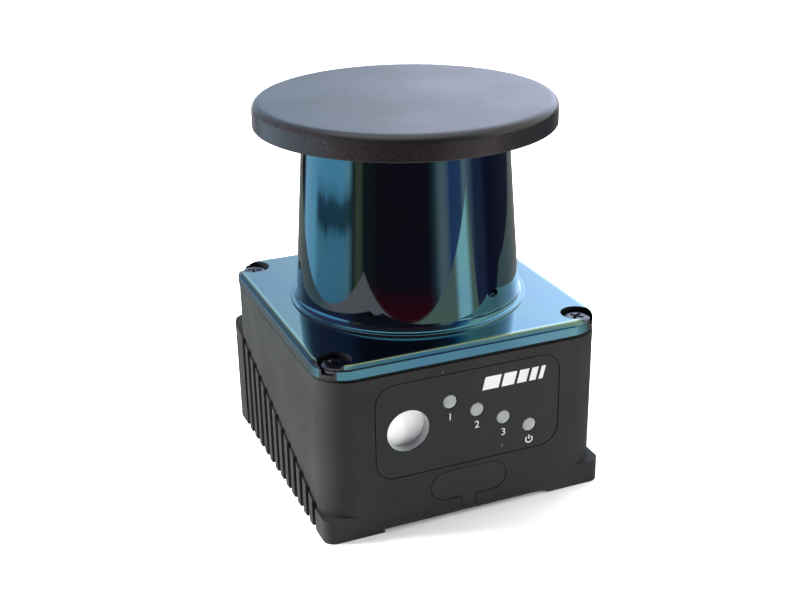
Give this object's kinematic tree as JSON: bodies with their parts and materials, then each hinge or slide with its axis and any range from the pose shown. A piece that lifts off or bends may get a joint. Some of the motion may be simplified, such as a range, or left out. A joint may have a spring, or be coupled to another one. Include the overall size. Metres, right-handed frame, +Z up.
{
  "type": "lidar scanner module",
  "caption": "Square-based laser scanner: finned cast base with indicator panel and port cover, mirror-coated tapered dome, flat round cap and a spinning mirror inside.",
  "frame": {"origin": "centre of the four threaded mounting holes, in the plane of the underside", "axes": "+Z up along the mirror's spin axis, front indicator panel towards -Y, rear connector towards +Y"},
  "size_m": [0.08, 0.0892, 0.1035],
  "materials": {
    "housing_paint": "fine-textured black powder coat",
    "window_coating": "infrared-transparent plastic with a dark blue mirror coating",
    "cap_plastic": "fine-textured black",
    "silicone_black": "matte",
    "rubber_black": "matte",
    "screw_black": "blackened",
    "screw_steel": "zinc plated",
    "overlay_film": "satin film",
    "light_pipe": "translucent grey",
    "diffuser_white": "translucent white",
    "board_green": "solder mask",
    "chip_black": "moulded",
    "can_aluminium": "bright",
    "socket_plastic": "moulded",
    "led_white": "moulded",
    "aluminium_turned": "machined",
    "bracket_black": "black anodised",
    "bearing_steel": "polished",
    "cage_brass": "stamped",
    "lamination_steel": "stacked",
    "copper_wire": "enamelled",
    "magnet_ferrite": "ground",
    "disc_film": "photo-etched",
    "mirror_glass": "front-coated",
    "lens_glass": "anti-reflection coated",
    "flex_orange": "polyimide",
    "contact_gold": "gold plated",
    "nickel_plate": "nickel plated",
    "wire_sleeve": "satin"
  },
  "bodies": {
    "base": {"lower_housing": "housing_paint", "flange_gasket": "silicone_black", "optical_window": "window_coating", "flange_screws": "screw_black", "top_cap": "cap_plastic", "cap_seal": "silicone_black", "front_overlay": "overlay_film", "indicator_light_pipes": "light_pipe", "status_light_tube": "light_pipe", "status_light_diffuser": "diffuser_white", "port_cover_anchor": "rubber_black", "usb_receptacle": "nickel_plate", "main_board": "board_green", "main_board_screws": "screw_steel", "main_processor": "chip_black", "power_inductor": "chip_black", "smoothing_capacitors": "can_aluminium", "board_sockets": "socket_plastic", "indicator_board": "board_green", "indicator_board_screws": "screw_steel", "indicator_leds": "led_white", "chassis_plate": "aluminium_turned", "chassis_screws": "screw_steel", "bearing_carrier": "aluminium_turned", "bearing_carrier_screws": "screw_steel", "bearing_outer_rings": "bearing_steel", "stator_core": "lamination_steel", "stator_windings": "copper_wire", "motor_driver_board": "board_green", "encoder_sensor": "chip_black", "optics_bracket": "bracket_black", "bracket_screws": "screw_steel", "lens_barrel": "bracket_black", "receiver_lens": "lens_glass", "laser_module": "aluminium_turned", "collimator_lens": "lens_glass", "receiver_board": "board_green", "receiver_photodiode": "nickel_plate", "board_standoffs": "screw_steel", "receiver_board_screws": "screw_steel", "head_flex_cable": "flex_orange", "connector_shell": "nickel_plate", "connector_seal": "silicone_black", "connector_insert": "chip_black", "connector_pins": "contact_gold", "connector_nut": "nickel_plate", "supply_wires": "wire_sleeve"},
    "rotor": {"motor_shaft": "bearing_steel", "bearing_inner_rings": "bearing_steel", "rotor_bell": "nickel_plate", "rotor_magnet": "magnet_ferrite", "mirror_hub": "aluminium_turned", "hub_set_screw": "screw_black", "encoder_disc": "disc_film", "mirror_carrier": "bracket_black", "scan_mirror": "mirror_glass"},
    "ball_train": {"bearing_balls": "bearing_steel", "bearing_cages": "cage_brass"},
    "cover": {"port_cover": "rubber_black"}
  },
  "joints": [
    {"name": "rotor_spin", "type": "hinge", "parent": "base", "child": "rotor", "pos_m": [0, 0, 0.045], "axis": [0, 0, 1], "continuous": true},
    {"name": "ball_train_spin", "type": "hinge", "parent": "base", "child": "ball_train", "pos_m": [0, 0, 0.0345], "axis": [0, 0, 1], "continuous": true},
    {"name": "port_cover_hinge", "type": "hinge", "parent": "base", "child": "cover", "pos_m": [0, -0.04, 0.002], "axis": [1, 0, 0], "range_deg": [0, 90]}
  ],
  "couplings": [
    {"joint": "ball_train_spin", "follows": "rotor_spin", "ratio": 0.3947}
  ]
}
